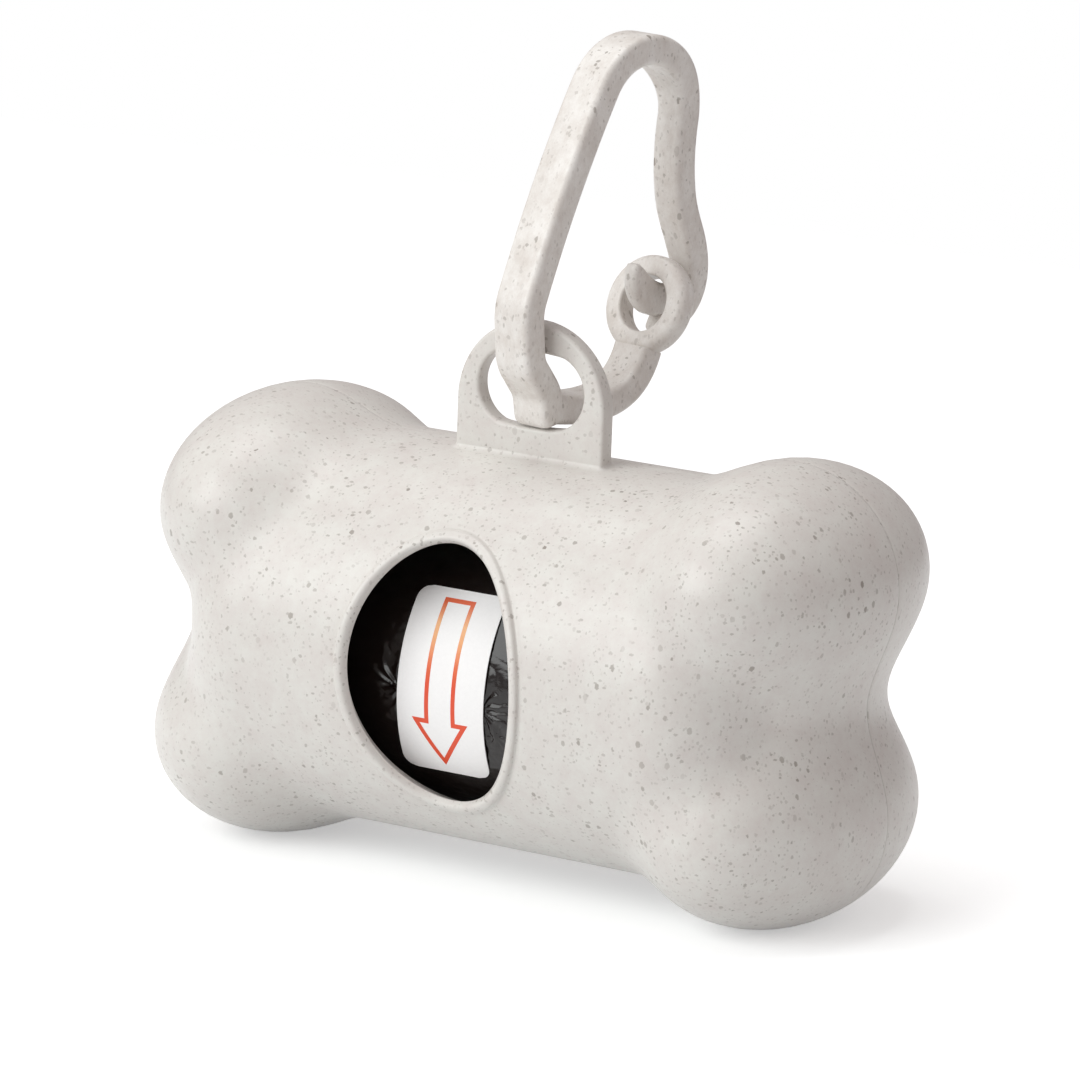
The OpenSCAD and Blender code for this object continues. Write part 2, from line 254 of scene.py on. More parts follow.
def strawPlastic(name, body, warm, strength=1.0, stretch=(1, 1, 1)):
    material, tree, shader, where = newFinish(name)
    mapped = addNode(tree, "ShaderNodeMapping", {"Vector": where, "Scale": stretch}).outputs["Vector"]
    wobble = addNode(tree, "ShaderNodeTexNoise",
                     {"Vector": mapped, "Scale": 1 / (0.24 * mm), "Detail": 2.0})
    spread = addNode(tree, "ShaderNodeVectorMath", {0: wobble.outputs["Color"], 1: (0.5, 0.5, 0.5)},
                     operation="SUBTRACT").outputs["Vector"]
    spread = addNode(tree, "ShaderNodeVectorMath", {0: spread, "Scale": straw["ragged"] * mm},
                     operation="SCALE").outputs["Vector"]
    ragged = addNode(tree, "ShaderNodeVectorMath", {0: mapped, 1: spread},
                     operation="ADD").outputs["Vector"]

    def flecks(size, pitch, share, low, high, squash):
        # one ragged dot in some of the cells, of its own size and depth
        squashed = addNode(tree, "ShaderNodeMapping", {"Vector": ragged, "Scale": squash,
                                                       "Rotation": (size * 9, size * 5, size * 13)})
        cells = addNode(tree, "ShaderNodeTexVoronoi",
                        {"Vector": squashed.outputs["Vector"], "Scale": 1 / (pitch * mm)})
        lots = addNode(tree, "ShaderNodeSeparateColor", {"Color": cells.outputs["Color"]})
        radius = addNode(tree, "ShaderNodeMapRange",
                         {"Value": lots.outputs["Red"], "From Min": 1 - share, "From Max": 1.0,
                          "To Min": 0.3 * size / pitch, "To Max": size / pitch}).outputs["Result"]
        there = addNode(tree, "ShaderNodeMath", {0: lots.outputs["Red"], 1: 1 - share},
                        operation="GREATER_THAN").outputs["Value"]
        gap = addNode(tree, "ShaderNodeMath", {0: radius, 1: cells.outputs["Distance"]},
                      operation="SUBTRACT").outputs["Value"]
        dot = addNode(tree, "ShaderNodeMapRange",
                      {"Value": gap, "From Min": 0.0, "From Max": 0.05 / pitch}).outputs["Result"]
        depth = addNode(tree, "ShaderNodeMapRange",
                        {"Value": lots.outputs["Green"], "To Min": low * strength,
                         "To Max": high * strength}).outputs["Result"]
        deep = addNode(tree, "ShaderNodeMath", {0: dot, 1: depth}, operation="MULTIPLY").outputs["Value"]
        return addNode(tree, "ShaderNodeMath", {0: deep, 1: there}, operation="MULTIPLY").outputs["Value"]

    both = None
    for layer in straw["flecks"]:
        dots = flecks(*layer)
        both = dots if both is None else addNode(tree, "ShaderNodeMath", {0: both, 1: dots},
                                                 operation="MAXIMUM").outputs["Value"]
    blotch = addNode(tree, "ShaderNodeTexNoise",
                     {"Vector": mapped, "Scale": 1 / (straw["blotchPitch"] * mm), "Detail": 7.0,
                      "Roughness": 0.8})
    patch = addNode(tree, "ShaderNodeMapRange",
                    {"Value": blotch.outputs["Fac"], "From Min": 0.38, "From Max": 0.72}).outputs["Result"]
    ground = addNode(tree, "ShaderNodeMix",
                     {"Factor": patch, 6: sheenOf(body), 7: sheenOf(warm)},
                     data_type="RGBA").outputs[2]
    crowd = addNode(tree, "ShaderNodeTexNoise", {"Vector": where, "Scale": 1 / (5.5 * mm), "Detail": 2.0})
    crowd = addNode(tree, "ShaderNodeMapRange",
                    {"Value": crowd.outputs["Fac"], "From Min": 0.3, "From Max": 0.7, "To Min": 0.45,
                     "To Max": 1.3}).outputs["Result"]
    both = addNode(tree, "ShaderNodeMath", {0: both, 1: crowd}, operation="MULTIPLY").outputs["Value"]
    colour = addNode(tree, "ShaderNodeMix", {"Factor": both, 6: ground, 7: sheenOf(straw["fleck"])},
                     data_type="RGBA").outputs[2]
    tree.links.new(colour, shader.inputs["Base Color"])
    fuzz = addNode(tree, "ShaderNodeTexNoise", {"Vector": mapped, "Scale": 1 / (0.5 * mm), "Detail": 3.0})
    rough = addNode(tree, "ShaderNodeMapRange",
                    {"Value": fuzz.outputs["Fac"], "To Min": straw["roughness"] - 0.06,
                     "To Max": straw["roughness"] + 0.08}).outputs["Result"]
    tree.links.new(rough, shader.inputs["Roughness"])
    shader.inputs["IOR"].default_value = 1.49  # polypropylene
    bump = addNode(tree, "ShaderNodeBump",
                   {"Height": fuzz.outputs["Fac"], "Strength": 0.12, "Distance": 0.04 * mm})
    tree.links.new(bump.outputs["Normal"], shader.inputs["Normal"])
    return material


# black polyethylene film, glossy, creased where it is wound
def blackFilm():
    material, tree, shader, where = newFinish("blackPolyethyleneFilm")
    long = addNode(tree, "ShaderNodeMapping", {"Vector": where, "Scale": (0.5, 1, 1)}).outputs["Vector"]
    fold = addNode(tree, "ShaderNodeTexNoise",
                   {"Vector": long, "Scale": 1 / (1.6 * mm), "Detail": 4.0, "Distortion": 0.8})
    shader.inputs["Base Color"].default_value = sheenOf("#130c0a")
    tree.links.new(addNode(tree, "ShaderNodeMapRange",
                           {"Value": fold.outputs["Fac"], "To Min": 0.1, "To Max": 0.26}).outputs["Result"],
                   shader.inputs["Roughness"])
    shader.inputs["IOR"].default_value = 1.51
    bump = addNode(tree, "ShaderNodeBump",
                   {"Height": fold.outputs["Fac"], "Strength": 0.45, "Distance": 0.15 * mm})
    tree.links.new(bump.outputs["Normal"], shader.inputs["Normal"])
    return material


# smooth white paper of the seal, matte and slightly fibrous
def sealPaper():
    material, tree, shader, where = newFinish("whiteSealPaper")
    fibre = addNode(tree, "ShaderNodeTexNoise", {"Vector": where, "Scale": 1 / (0.3 * mm), "Detail": 4.0})
    colour = addNode(tree, "ShaderNodeMix",
                     {"Factor": fibre.outputs["Fac"], 6: sheenOf("#fcfbfb"), 7: sheenOf("#f4f3f3")},
                     data_type="RGBA").outputs[2]
    tree.links.new(colour, shader.inputs["Base Color"])
    shader.inputs["Roughness"].default_value = 0.5
    shader.inputs["IOR"].default_value = 1.5
    bump = addNode(tree, "ShaderNodeBump",
                   {"Height": fibre.outputs["Fac"], "Strength": 0.1, "Distance": 0.02 * mm})
    tree.links.new(bump.outputs["Normal"], shader.inputs["Normal"])
    return material


# orange red printing ink on the seal, with a painted highlight: a paler golden band across the middle of
# its height stands in for the ink's sheen
def arrowInkAndSheen(rollHeight):
    material, tree, shader, where = newFinish("orangeInkWithPaintedSheen")
    height = addNode(tree, "ShaderNodeSeparateXYZ", {"Vector": where}).outputs["Z"]
    spot = addNode(tree, "ShaderNodeMapRange",
                   {"Value": height, "From Min": (rollHeight + 1.5) * mm,
                    "From Max": (rollHeight + 11.5) * mm}).outputs["Result"]
    inkAndSheenBand = addNode(tree, "ShaderNodeValToRGB", {"Fac": spot})
    ramp = inkAndSheenBand.color_ramp
    ramp.elements[0].color = sheenOf("#e2502f")
    ramp.elements[1].color = sheenOf("#df4f33")
    # the pale golden colours in the middle of this ramp are a painted highlight, not ink
    for place, code in ((0.2, "#e66a3c"), (0.45, "#eda469"), (0.6, "#f0b37c"), (0.8, "#e2683f")):
        ramp.elements.new(place).color = sheenOf(code)
    tree.links.new(inkAndSheenBand.outputs["Color"], shader.inputs["Base Color"])
    shader.inputs["Roughness"].default_value = 0.38
    shader.inputs["IOR"].default_value = 1.5
    return material


# grey brown board of the core, wound as a spiral
def coreBoard():
    material, tree, shader, where = newFinish("spiralWoundBoard")
    lean = addNode(tree, "ShaderNodeMapping",
                   {"Vector": where, "Rotation": (0.0, 0.0, 0.6)}).outputs["Vector"]
    wind = addNode(tree, "ShaderNodeTexWave",
                   {"Vector": lean, "Scale": 1 / (14 * mm), "Distortion": 1.0, "Detail": 2.0})
    fibre = addNode(tree, "ShaderNodeTexNoise", {"Vector": where, "Scale": 1 / (0.6 * mm), "Detail": 5.0})
    share = addNode(tree, "ShaderNodeMath", {0: wind.outputs["Fac"], 1: fibre.outputs["Fac"]},
                    operation="MULTIPLY").outputs["Value"]
    colour = addNode(tree, "ShaderNodeMix", {"Factor": share, 6: sheenOf("#b79e7c"), 7: sheenOf("#a08662")},
                     data_type="RGBA").outputs[2]
    tree.links.new(colour, shader.inputs["Base Color"])
    shader.inputs["Roughness"].default_value = 0.85
    bump = addNode(tree, "ShaderNodeBump",
                   {"Height": fibre.outputs["Fac"], "Strength": 0.3, "Distance": 0.05 * mm})
    tree.links.new(bump.outputs["Normal"], shader.inputs["Normal"])
    return material


casePlastic = strawPlastic("strawFilledPlasticCase", straw["body"], straw["warm"])
# the clip's base colour is lighter than the case's: painted light, standing in for the stronger light that
# falls on the clip above the tab; its darker cloudy patches are the plastic's own
clipPlasticPaintedLight = strawPlastic("strawFilledPlasticClipPaintedLight", "#eae7e3", "#cfc7c0", 1.0, (1.0, 1.0, 0.7))
print("finishes made")

bead = {
    # widening from the window's edge, and height above the skin
    "profile": [(0.9, -0.95), (0.32, -0.62), (0.05, -0.48), (0.0, -0.36), (0.0, -0.1), (0.0, 0.16),
                (0.05, 0.31), (0.16, 0.41), (0.32, 0.45), (0.52, 0.45), (0.71, 0.4), (0.88, 0.28),
                (1.0, 0.13), (1.1, 0.0), (1.22, -0.07), (1.38, -0.07), (1.6, -0.02), (1.85, 0.0)],
    "rings": 76,
    "innerRings": 26,
}


def frontHalf():
    lap = (bone["wall"] - bone["lipGap"]) / 2
    seam, depth, wall = bone["seamY"], bone["lipDepth"], bone["wall"]
    rings = [frontRing(0, h, g) for g, h in bead["profile"]]
    widest = bead["profile"][-1][0]
    rings += [frontRing(i / (bead["rings"] + 1), 0, widest) for i in range(1, bead["rings"] + 1)]
    rings += [flatRing(seam - 0.04, 0), flatRing(seam - 0.01, -0.01), flatRing(seam, -0.05),
              flatRing(seam, -lap - bone["lipGap"]),
              flatRing(seam + depth - 0.15, -lap - bone["lipGap"]),
              flatRing(seam + depth, -lap - bone["lipGap"] - 0.15), flatRing(seam + depth, -wall + 0.1),
              flatRing(seam + depth - 0.1, -wall)]
    n = bead["innerRings"]
    rings += [frontRing(i / (n + 0.6), -wall, 2.1) for i in range(n, -1, -1)]
    bm = bmesh.new()
    loftLoops(bm, [seat(r) for r in rings], closed=True)
    return bm


tab = {
    "halfWidth": 9.0,
    "front": -3.0,
    "thickness": 2.15,
    "top": 35.2,
    "holeHalf": (6.4, 4.0),
    "holeHeight": 28.0,
    "edge": 0.42,
    "fillet": 0.55,
    "points": 120,
}


def tabOutline():
    # outside of the tab, counted round from the right, and the hole with as many points
    n, r = tab["points"], tab["halfWidth"]
    shoulder = tab["top"] - r
    foot = math.sqrt(bone["tubeRadius"] ** 2 - tab["front"] ** 2) - 0.8
    half, tall = tab["holeHalf"]
    straight = half - tall
    outer, hole = [], []
    for i in range(n):
        a = 2 * math.pi * i / n
        c, s = math.cos(a), math.sin(a)
        if s >= 0:
            outer.append((r * c, shoulder + r * s))
        else:
            reach = min(r / max(abs(c), 1e-6), (shoulder - foot) / abs(s))
            outer.append((reach * c, shoulder + reach * s))
        hole.append((straight * np.clip(c * 3, -1, 1) + tall * c, tab["holeHeight"] + tall * s))
    return outer, hole


def addTab(bm):
    outer, hole = tabOutline()
    back = tab["front"] + tab["thickness"]
    part = bmesh.new()
    loops = []
    for outline in (outer, hole):
        verts = firstLoop(part, [Vector((x, back, z + axisHeight)) * mm for x, z in outline])
        loops += loopEdges(part, verts)
    made = bmesh.ops.bridge_loops(part, edges=loops)
    up = bmesh.ops.extrude_face_region(part, geom=made["faces"])["geom"]
    moved = [g for g in up if isinstance(g, bmesh.types.BMVert)]
    bmesh.ops.translate(part, verts=moved, vec=Vector((0, -tab["thickness"] * mm, 0)))
    bmesh.ops.recalc_face_normals(part, faces=part.faces)
    rims = [e for e in part.edges if len(e.link_faces) == 2 and e.calc_face_angle() > 1.2
            and abs(e.verts[0].co.y - e.verts[1].co.y) < 1e-6]
    bmesh.ops.bevel(part, geom=rims, offset=tab["edge"] * mm, offset_type="OFFSET", segments=4,
                    profile=0.5, affect="EDGES", material=-1, clamp_overlap=True)
    # soft fillet where the tab grows out of the round middle
    r, e = tab["fillet"], tab["edge"]
    half, y0, y1 = tab["halfWidth"], tab["front"], back
    corner = []
    for cx, cy, start in ((half - e, y1 - e, 0), (-half + e, y1 - e, 90), (-half + e, y0 + e, 180),
                          (half - e, y0 + e, 270)):
        for k in range(9):
            a = math.radians(start + k * 90 / 8)
            corner.append((cx, cy, math.cos(a), math.sin(a)))
    rings = []
    for k in range(11):
        a = math.radians(-6 + k * 102 / 10)
        out, lift = r - r * math.cos(a), r - r * math.sin(a)
        ring = []
        for cx, cy, c, s in corner:
            x, y = cx + (e + out - 0.012) * c, cy + (e + out - 0.012) * s
            ring.append(Vector((x, y, math.sqrt(bone["tubeRadius"] ** 2 - y * y) + lift + axisHeight)) * mm)
        rings.append(ring)
    inner = [Vector((cx * 0.9, cy, 0)) for cx, cy, c, s in corner]
    rings = [[Vector((p.x * mm, p.y * mm, rings[0][0].z)) for p in inner]] + rings
    rings.append([Vector((p.x * mm, p.y * mm, (axisHeight + 20.0) * mm)) for p in inner])
    loftLoops(part, rings, tips=(True, True))
    joinInto(bm, part)


shell = frontHalf()
addTab(shell)
frontShell = finishPiece(shell, "frontShellSkin", casePlastic, 50)
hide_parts("front_shell")
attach(frontShell, "front_half")
print("front half made")


def rearHalf():
    lap = (bone["wall"] - bone["lipGap"]) / 2
    seam = bone["seamY"] + 0.05
    back = bone["seamY"] + bone["lipDepth"] + bone["lipGap"]
    rings = [rearRing(i / 78, 0) for i in range(77, 0, -1)]
    rings += [flatRing(seam + 0.04, 0), flatRing(seam + 0.01, -0.01), flatRing(seam, -0.05),
              flatRing(seam, -lap + 0.12), flatRing(seam + 0.12, -lap), flatRing(back, -lap),
              flatRing(back, -bone["wall"])]
    rings += [rearRing(0.06 + 0.94 * i / 26, -bone["wall"]) for i in range(1, 26)]
    bm = bmesh.new()
    rings = [seat(r) for r in rings]
    for spot, at in ((rings[0].mean(0), 0), (rings[-1].mean(0), len(rings))):
        tip = np.repeat([[0.0, spot[1], axisHeight * mm]], len(turns), axis=0)
        rings.insert(at if at == 0 else len(rings), tip)
    loftLoops(bm, rings)
    ends = [v for v in bm.verts if abs(v.co.x) < 1e-8 and abs(v.co.z - axisHeight * mm) < 1e-8]
    bmesh.ops.remove_doubles(bm, verts=ends, dist=1e-7)
    bmesh.ops.dissolve_degenerate(bm, edges=bm.edges, dist=1e-8)
    return bm


rearShell = finishPiece(rearHalf(), "rearShellSkin", casePlastic, 50)
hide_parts("rear_shell")
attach(rearShell, "rear_half")
print("rear half made")

# the snap loop is drawn in its own upright plane, turned a little in the tab's hole
clip = {
    "turn": 10.0,
    "place": 1.0,
    "width": 4.8,
    "gateWidth": 3.7,
    "thickness": 3.2,
    "round": 0.7,
    "foot": (-1.95, 24.35, 100.0),
    "footRound": 0.9,
    "arcs": [(2.69, 0.2), (1.7, 28.3), (2.4, 0.2), (1.9, -32.7), (3.34, -0.3), (2.6, -26.7),
             (23.2, -9.0), (9.3, -74), (10.4, -85), (8.2, 19)],
    "hingeRise": 1.4,
    "armEnd": (-1.3, 26.05),
    "armPull": (5.0, 25.15),
    "gateArcs": [(6.5, -14), (3.5, -36), (6.2, -98)],
    "gateStart": -60.0,
    "gateArm": 10.5,
    "lean": 20.0,
    "ringRadius": 5.3,
    "ringBore": 3.05,
    "ringThick": 2.6,
    "ringRims": (0.95, 0.3),  # rounding outside and in the bore
    "tongue": 1.9,
    "tongueRim": 0.62,
    "tongueArcs": [(0.3, 3.2, 4.28), (1.2, 2.6, 4.48)],  # middle forward and up, radius
    "splitBack": 4.5,
}


def walkArcs(x, z, heading, arcs, step=0.3):
    spots = [(x, z, heading)]
    for length, turn in arcs:
        n = max(4, round(length / step))
        r = length / math.radians(turn)
        x0, z0, h0 = spots[-1]
        for k in range(1, n + 1):
            h = h0 + turn * k / n
            spots.append((x0 + r * (math.sin(math.radians(h)) - math.sin(math.radians(h0))),
                          z0 - r * (math.cos(math.radians(h)) - math.cos(math.radians(h0))), h))
    return spots


def fromPlane(u, z, w=0.0):
    g = math.radians(clip["turn"])
    return Vector((clip["place"] + u * math.sin(g) + w * math.cos(g),
                   u * math.cos(g) - w * math.sin(g), axisHeight + z)) * mm


frontWalk = walkArcs(*clip["foot"], clip["arcs"])
endX, endZ, endHeading = frontWalk[-1]
for step in range(1, 6):
    d = clip["hingeRise"] * step / 5
    frontWalk.append((endX + d * math.cos(math.radians(endHeading)),
                      endZ + d * math.sin(math.radians(endHeading)), endHeading))
pivot = frontWalk[-1][:2]
leanUp = (math.sin(math.radians(clip["lean"])), math.cos(math.radians(clip["lean"])))
ringMid = (pivot[0] - clip["gateArm"] * leanUp[0], pivot[1] - clip["gateArm"] * leanUp[1])


def armWalk():
    end = Vector((ringMid[0] - (clip["ringRadius"] - 0.7) * leanUp[0],
                  ringMid[1] - (clip["ringRadius"] - 0.7) * leanUp[1]))
    low = Vector(clip["armEnd"])
    a, b = end - 6.2 * Vector(leanUp), Vector(clip["armPull"])
    spots = []
    for i in range(41):
        f = i / 40
        g = 1 - f
        p = g ** 3 * end + 3 * g * g * f * a + 3 * g * f * f * b + f ** 3 * low
        d = 3 * g * g * (a - end) + 6 * g * f * (b - a) + 3 * f * f * (low - b)
        spots.append((p.x, p.y, math.degrees(math.atan2(d.y, d.x))))
    return spots


def barSection(spot, width, thick, edge, count=6):
    # a flat bar with quarter round edges, count steps to each edge
    x, z, heading = spot
    h = math.radians(heading)
    out = []
    for cp, cq, start in ((1, 1, 0), (-1, 1, 90), (-1, -1, 180), (1, -1, 270)):
        for k in range(count + 1):
            a = math.radians(start + 90 * k / count)
            p = cp * (thick / 2 - edge) + edge * math.cos(a)
            q = cq * (width / 2 - edge) + edge * math.sin(a)
            out.append(fromPlane(x - p * math.sin(h), z + p * math.cos(h), q))
    return out


def loopRing(bm):
    # the eye at the arm's end: its section spun about the ring's own axis
    part = bmesh.new()
    r0, r1, half = clip["ringBore"], clip["ringRadius"], clip["ringThick"] / 2
    outer, inner = clip["ringRims"]
    section = []
    for cx, cy, radius, start in ((r1 - outer, half - outer, outer, 0),
                                  (r0 + inner, half - inner, inner, 90),
                                  (r0 + inner, inner - half, inner, 180),
                                  (r1 - outer, outer - half, outer, 270)):
        for k in range(7):
            a = math.radians(start + 90 * k / 6)
            section.append(Vector((cx + radius * math.cos(a), 0, cy + radius * math.sin(a))))
    verts = firstLoop(part, section)
    bmesh.ops.spin(part, geom=verts + loopEdges(part, verts), cent=(0, 0, 0), axis=(0, 0, 1),
                   angle=2 * math.pi, steps=96, use_merge=True, use_duplicate=False)
    a = math.radians(clip["lean"])
    for v in part.verts:
        x, y, s = v.co
        # s runs along the ring's axis to the front and up, y up the ring, x across the strip
        v.co = fromPlane(ringMid[0] - s * math.cos(a) + y * math.sin(a),
                         ringMid[1] + s * math.sin(a) + y * math.cos(a), x)
    joinInto(bm, part)


def walkLengths(spots):
    s = [0.0]
    for a, b in zip(spots, spots[1:]):
        s.append(s[-1] + math.hypot(b[0] - a[0], b[1] - a[1]))
    return s


def loopWidth(s):
    # the strip narrows on the far side of the top, towards the gate
    total = [length for length, turn in clip["arcs"]]
    start = sum(total[:8]) + 2.5
    f = min(1, max(0, (s - start) / 7.0))
    f = f * f * (3 - 2 * f)
    return clip["width"] + (clip["gateWidth"] - clip["width"]) * f


along = walkLengths(frontWalk)
split = next(i for i, s in enumerate(along) if s > along[-1] - clip["splitBack"])
loopBm = bmesh.new()


def footRings():
    # the strip's rounded lower end
    x, z, heading = clip["foot"]
    r = clip["footRound"]
    out = []
    for k in range(8):
        a = math.pi / 2 * k / 8
        inset, d = r * (1 - math.sin(a)), r * (1 - math.cos(a))
        spot = (x + d * math.cos(math.radians(heading)), z + d * math.sin(math.radians(heading)), heading)
        out.append(barSection(spot, clip["width"] - 2 * inset, clip["thickness"] - 2 * inset,
                              min(clip["round"], clip["thickness"] / 2 - inset - 0.05)))
    return out


rings = [barSection(p, clip["width"] - 0.1, clip["thickness"] - 0.1, clip["round"]) for p in armWalk()]
loftLoops(loopBm, rings, tips=(True, True))
rings = footRings()
rings += [barSection(p, loopWidth(s), clip["thickness"], clip["round"])
          for p, s in zip(frontWalk[:split + 1], along) if s >= clip["footRound"]]
loftLoops(loopBm, rings, tips=(True, True))
loopRing(loopBm)
loopStrip = finishPiece(loopBm, "snapLoopStrip", clipPlasticPaintedLight, 45)
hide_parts("clip_loop")
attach(loopStrip, "snap_loop")


def gateWalk():
    # carries on from the loop, with the kink at the waist rounded over
    hook = walkArcs(pivot[0], pivot[1], clip["gateStart"], clip["gateArcs"])
    spots = frontWalk[split:-1] + hook
    out = []
    for i in range(len(spots)):
        reach = min(7, i, len(spots) - 1 - i)
        near = spots[i - reach:i + reach + 1]
        out.append(tuple(sum(p[j] for p in near) / len(near) for j in range(3)))
    return out


def tongueOutline(count=72):
    # the hook's head seen from the side; s is forward through the ring, p up the ring
    top = clip["gateArm"] - clip["ringBore"] + 0.5
    out = []
    for k in range(count):
        a = 2 * math.pi * k / count
        c, s = math.cos(a), math.sin(a)
        low, high = 0.0, 9.0
        for _ in range(30):
            mid = (low + high) / 2
            x, y = 0.9 + mid * c, 0.9 + mid * s
            inside = (math.hypot(x, y - clip["gateArm"]) > top
                      and all(math.hypot(x - cx, y - cy) < r for cx, cy, r in clip["tongueArcs"]))
            low, high = (mid, high) if inside else (low, mid)
        out.append((0.9 + low * c, 0.9 + low * s))
    for _ in range(2):
        out = [tuple((out[i - 1][j] + 2 * out[i][j] + out[(i + 1) % count][j]) / 4 for j in (0, 1))
               for i in range(count)]
    return out


def addTongue(bm):
    part = bmesh.new()
    a = math.radians(clip["lean"])
    outline = tongueOutline()
    cx, cy = (sum(p[j] for p in outline) / len(outline) for j in (0, 1))
    half = clip["tongue"] / 2
    rings = []
    for k in range(13):
        t = math.radians(-90 + 180 * k / 12)
        edge = clip["tongueRim"]
        inset = edge * (1 - math.cos(t))
        w = (half - edge) * (1 if t > 0 else -1 if t < 0 else 0) + edge * math.sin(t)
        ring = []
        for x, y in outline:
            d = math.hypot(x - cx, y - cy)
            f = max(0.05, (d - inset) / d)
            s, p = cx + (x - cx) * f, cy + (y - cy) * f
            ring.append(fromPlane(ringMid[0] - s * math.cos(a) + p * math.sin(a),
                                  ringMid[1] + s * math.sin(a) + p * math.cos(a), w))
        rings.append(ring)
    loftLoops(part, rings, tips=(True, True))
    joinInto(bm, part)


gateBm = bmesh.new()
hook = gateWalk()
hookLengths = walkLengths(hook)
rings = []
for p, s in zip(hook, hookLengths):
    f = min(1, max(0, (s - clip["splitBack"] - 3) / (hookLengths[-1] - clip["splitBack"] - 3)))
    f = f * f * (3 - 2 * f)
    width = loopWidth(along[split] + s) + (clip["tongue"] - 0.1 - clip["gateWidth"]) * f
    rings.append(barSection(p, width, clip["thickness"] - 0.3 * f, min(clip["round"], width / 2 - 0.05)))
loftLoops(gateBm, rings, tips=(True, True))
addTongue(gateBm)
gatePiece = finishPiece(gateBm, "snapGateStrip", clipPlasticPaintedLight, 45)
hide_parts("clip_gate")
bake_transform(gatePiece)
print("snap loop made")

roll = {
    "radius": 15.75,
    "length": 55.0,
    "core": 5.22,
    "gap": 0.45,
    "creaseDepth": 0.26,
    # middle along the roll and round it, number of pleats, reach
    "pleats": [(-6.7, 0.4, 13, 3.2), (3.5, -0.4, 12, 3.4), (5.1, -3.0, 7, 1.1)],
}
rollHeight = axisHeight - (bone["tubeRadius"] - bone["wall"] - roll["radius"] - roll["gap"])
sealRadius = roll["radius"] + 0.13
seal = {
    "middle": -1.5,
    "width": 10.6,
    "half": 36.8,
    "up": 6.2,
    "thick": 0.12,
    "corner": 1.5,
}


def creases(x, turn):
    # how far the folded film lies below its full radius, in millimetres
    arc = turn * roll["radius"]
    sag = 0.5 + noise.fractal(Vector((x * 0.14, arc * 0.3, 3.1)), 0.8, 2.1, 4)
    fold = 1 - abs(noise.noise(Vector((x * 0.4 + arc * 0.25, arc * 0.75, 9.7))))
    depth = 0.07 * sag + 0.05 * fold ** 6
    for cx, cf, count, reach in roll["pleats"]:
        # pleats that fan out from the seal's edges
        dx, df = x - cx, arc - cf
        d = math.hypot(dx, df)
        if 0.01 < d < 4 * reach:
            a = math.atan2(df, dx)
            bend = noise.noise(Vector((a * 1.3, d * 0.35, cx)))
            pleat = abs(math.sin(a * count / 2 + 2.4 * bend + 0.25 * d))
            depth += roll["creaseDepth"] * pleat ** 1.3 * math.exp(-(d / reach) ** 2) * min(1, d / 0.9)
    return min(roll["creaseDepth"] * 2, max(0, depth))


def spreadSteps(parts):
    # places from a list of start, end and count
    out = []
    for start, end, count in parts:
        out += [start + (end - start) * k / count for k in range(count)]
    return out + [parts[-1][1]]


def filmRoll():
    half = roll["length"] / 2
    turnsRound = spreadSteps([(-180, -56, 46), (-56, 56, 210), (56, 180, 46)])[:-1]
    turnsRound = [math.radians(a) for a in turnsRound]

    def ring(x, radius, fold):
        out = []
        for a in turnsRound:
            r = radius - (creases(x, a) if fold else 0)
            out.append(Vector((x, -r * math.cos(a), rollHeight + r * math.sin(a))) * mm)
        return out

    xs = spreadSteps([(-half + 0.25, -10.5, 34), (-10.5, -5.2, 52), (-5.2, 2.6, 16), (2.6, 7.4, 48),
                      (7.4, half - 0.25, 40)])
    ends = (roll["core"], 10.0, roll["radius"] - 0.5)
    rings = [ring(-half, r, False) for r in ends]
    rings += [ring(x, roll["radius"], True) for x in xs]
    rings += [ring(half, r, False) for r in ends[::-1]]
    bm = bmesh.new()
    loftLoops(bm, rings, closed=True)
    return bm


film = finishPiece(filmRoll(), "woundFilm", blackFilm(), 60)
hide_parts("bag_roll")
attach(film, "roll")


def onRoll(x, arc, lift):
    # arc is the length round the roll above the level of its axis, at the front
    r = roll["radius"] + lift
    a = arc / sealRadius
    return Vector((x, -r * math.cos(a), rollHeight + r * math.sin(a))) * mm


def giveDepth(bm, depth):
    # extrudes a sheet towards the roll's axis
    for g in bmesh.ops.extrude_face_region(bm, geom=list(bm.faces))["geom"]:
        if isinstance(g, bmesh.types.BMVert):
            away = Vector((0, g.co.y, g.co.z - rollHeight * mm)).normalized()
            g.co -= away * depth * mm


def sealSheet():
    bm = bmesh.new()
    bmesh.ops.create_grid(bm, x_segments=24, y_segments=90, size=1.0)
    halfArc = sealRadius * math.radians(seal["half"])
    middle = sealRadius * math.radians(seal["up"])
    c = seal["corner"]
    for v in bm.verts:
        d = (1 - abs(v.co.y)) * halfArc
        halfWidth = seal["width"] / 2
        if d < c:
            halfWidth += -c + math.sqrt(max(0, c * c - (c - d) ** 2))
        v.co = onRoll(seal["middle"] + v.co.x * halfWidth, middle + v.co.y * halfArc, seal["thick"])
    bmesh.ops.recalc_face_normals(bm, faces=bm.faces)
    giveDepth(bm, seal["thick"] - 0.01)
    return bm


arrow = {
    "middle": -1.55,
    "top": 38.05,
    "neck": -9.2,
    "tip": -25.4,
    "shaft": 1.62,
    "head": 2.96,
    "line": 0.5,
}


def offsetCorners(points, away):
    out = []
    n = len(points)
    for i in range(n):
        p, q, r = (Vector(points[(i + k) % n]) for k in (-1, 0, 1))
        a, b = (q - p).normalized(), (r - q).normalized()
        na, nb = Vector((a.y, -a.x)), Vector((b.y, -b.x))
        m = (na + nb) / (1 + na.dot(nb))
        out.append(q + m * away)
    return out


